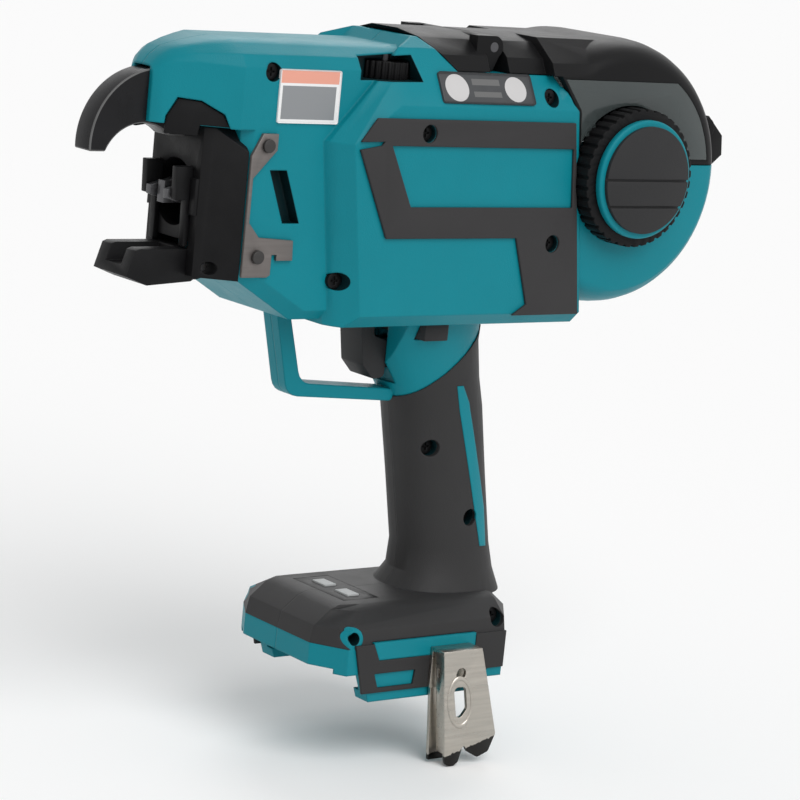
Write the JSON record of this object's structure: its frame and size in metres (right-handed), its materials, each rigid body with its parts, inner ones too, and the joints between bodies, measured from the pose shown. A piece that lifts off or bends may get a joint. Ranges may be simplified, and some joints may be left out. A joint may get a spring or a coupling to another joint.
{
  "type": "rebar tying tool",
  "caption": "Pistol-grip cordless rebar tying tool without battery or reel: hooked wire guide and twister at the nose, wire drum with hinged cover at the rear.",
  "frame": {"origin": "on the battery seat at mid-width: the ceiling of the recess under the foot, half-way along the rails", "axes": "nose towards -X, rear +X, the left side (knob, dial and belt hook) at -Y, up +Z; the battery leaves along -X"},
  "size_m": [0.3161, 0.0903, 0.2996],
  "materials": {
    "shell": "satin moulded",
    "soft": "matt overmould",
    "black": "fine grained",
    "black_steel": "black oxide",
    "plate_steel": "burnished",
    "steel": "ground",
    "nickel": "satin plated",
    "smoke": "smoked clear",
    "brass": "turned",
    "stator": "wound",
    "case": "die cast",
    "board": "solder mask",
    "key": "silicone"
  },
  "bodies": {
    "frame": {"housing_left": "shell", "housing_right": "shell", "grip_left": "soft", "grip_right": "soft", "side_pad_left": "soft", "side_pad_right": "soft", "guard_plate": "black_steel", "face_plate": "black_steel", "curl_guide": "black_steel", "contact_plates": "black_steel", "side_plate_left": "plate_steel", "side_plate_right": "plate_steel", "side_plate_screws": "black_steel", "jaw_pin": "steel", "sleeve_bearing": "brass", "gear_case": "case", "motor_stator": "stator", "rotor_bearings": "steel", "feed_motor": "case", "wire_guide": "steel", "hinge_block": "black", "cover_pin": "steel", "knob_base": "black", "reel_hub": "steel", "trigger_switch": "black", "dial_pin": "steel", "control_panel": "black", "control_board": "board", "terminal_block": "black", "terminal_blades": "brass", "belt_hook": "nickel", "hook_screw": "nickel", "housing_screws": "black_steel"},
    "jaw": {"lower_jaw": "black_steel"},
    "twister": {"twister_shaft": "steel", "side_hooks": "steel", "twister_sleeve": "steel"},
    "planet_1": {"planet_gear_1": "steel"},
    "planet_2": {"planet_gear_2": "steel"},
    "planet_3": {"planet_gear_3": "steel"},
    "rotor": {"motor_rotor": "steel"},
    "feed_lower": {"feed_roller_lower": "steel"},
    "feed_upper": {"feed_roller_upper": "steel"},
    "pinion": {"feed_pinion": "brass"},
    "cover": {"reel_cover": "black", "cover_windows": "smoke", "latch_pin": "steel"},
    "latch": {"cover_latch": "black"},
    "stopper": {"stopper_spindle": "steel"},
    "knob": {"knob_ring": "shell", "knob_cap": "black"},
    "trigger": {"trigger": "black"},
    "lock": {"lock_button": "black"},
    "dial": {"dial": "black"},
    "power_key": {"power_button": "key"},
    "mode_key": {"mode_button": "key"}
  },
  "joints": [
    {"name": "jaw_swing", "type": "hinge", "parent": "frame", "child": "jaw", "pos_m": [-0.115, 0, 0.162], "axis": [0, -1, 0], "range_deg": [0, 25], "stiffness_Nm_per_rad": 0.4},
    {"name": "twister_spin", "type": "hinge", "parent": "frame", "child": "twister", "pos_m": [-0.08, 0, 0.1885], "axis": [1, 0, 0], "continuous": true},
    {"name": "planet_1_spin", "type": "hinge", "parent": "twister", "child": "planet_1", "pos_m": [-0.0386, 0, 0.1993], "axis": [1, 0, 0], "continuous": true},
    {"name": "planet_2_spin", "type": "hinge", "parent": "twister", "child": "planet_2", "pos_m": [-0.0386, -0.00935, 0.1831], "axis": [1, 0, 0], "continuous": true},
    {"name": "planet_3_spin", "type": "hinge", "parent": "twister", "child": "planet_3", "pos_m": [-0.0386, 0.00935, 0.1831], "axis": [1, 0, 0], "continuous": true},
    {"name": "rotor_spin", "type": "hinge", "parent": "frame", "child": "rotor", "pos_m": [-0.011, 0, 0.1885], "axis": [1, 0, 0], "continuous": true},
    {"name": "feed_lower_spin", "type": "hinge", "parent": "frame", "child": "feed_lower", "pos_m": [-0.048, 0, 0.226], "axis": [0, 1, 0], "continuous": true},
    {"name": "feed_upper_spin", "type": "hinge", "parent": "frame", "child": "feed_upper", "pos_m": [-0.048, 0, 0.239], "axis": [0, 1, 0], "continuous": true},
    {"name": "pinion_spin", "type": "hinge", "parent": "frame", "child": "pinion", "pos_m": [-0.067, 0.01, 0.2245], "axis": [0, 1, 0], "continuous": true},
    {"name": "cover_hinge", "type": "hinge", "parent": "frame", "child": "cover", "pos_m": [0.01, 0, 0.2511], "axis": [0, -1, 0], "range_deg": [0, 70]},
    {"name": "latch_lift", "type": "hinge", "parent": "cover", "child": "latch", "pos_m": [0.1394, 0, 0.2197], "axis": [0, -1, 0], "range_deg": [0, 25], "stiffness_Nm_per_rad": 0.15},
    {"name": "stopper_pull", "type": "slide", "parent": "frame", "child": "stopper", "axis": [0, -1, 0], "range_m": [0, 0.01], "stiffness_N_per_m": 600},
    {"name": "knob_turn", "type": "hinge", "parent": "stopper", "child": "knob", "pos_m": [0.0775, -0.048, 0.2017], "axis": [0, 1, 0], "range_deg": [0, 90]},
    {"name": "trigger_pull", "type": "slide", "parent": "frame", "child": "trigger", "axis": [1, 0, 0], "range_m": [0, 0.006], "stiffness_N_per_m": 1200},
    {"name": "lock_push", "type": "slide", "parent": "frame", "child": "lock", "axis": [0, 1, 0], "range_m": [0, 0.004]},
    {"name": "dial_turn", "type": "hinge", "parent": "frame", "child": "dial", "pos_m": [-0.038, -0.017, 0.24], "axis": [0, 0, 1], "range_deg": [-120, 120]},
    {"name": "power_press", "type": "slide", "parent": "frame", "child": "power_key", "axis": [0, 0, -1], "range_m": [0, 0.0008], "stiffness_N_per_m": 1500},
    {"name": "mode_press", "type": "slide", "parent": "frame", "child": "mode_key", "axis": [0, 0, -1], "range_m": [0, 0.0008], "stiffness_N_per_m": 1500}
  ],
  "couplings": [
    {"joint": "planet_1_spin", "follows": "twister_spin", "ratio": -3},
    {"joint": "planet_2_spin", "follows": "twister_spin", "ratio": -3},
    {"joint": "planet_3_spin", "follows": "twister_spin", "ratio": -3},
    {"joint": "rotor_spin", "follows": "twister_spin", "ratio": 4},
    {"joint": "feed_upper_spin", "follows": "feed_lower_spin", "ratio": -1},
    {"joint": "pinion_spin", "follows": "feed_lower_spin", "ratio": -3}
  ]
}
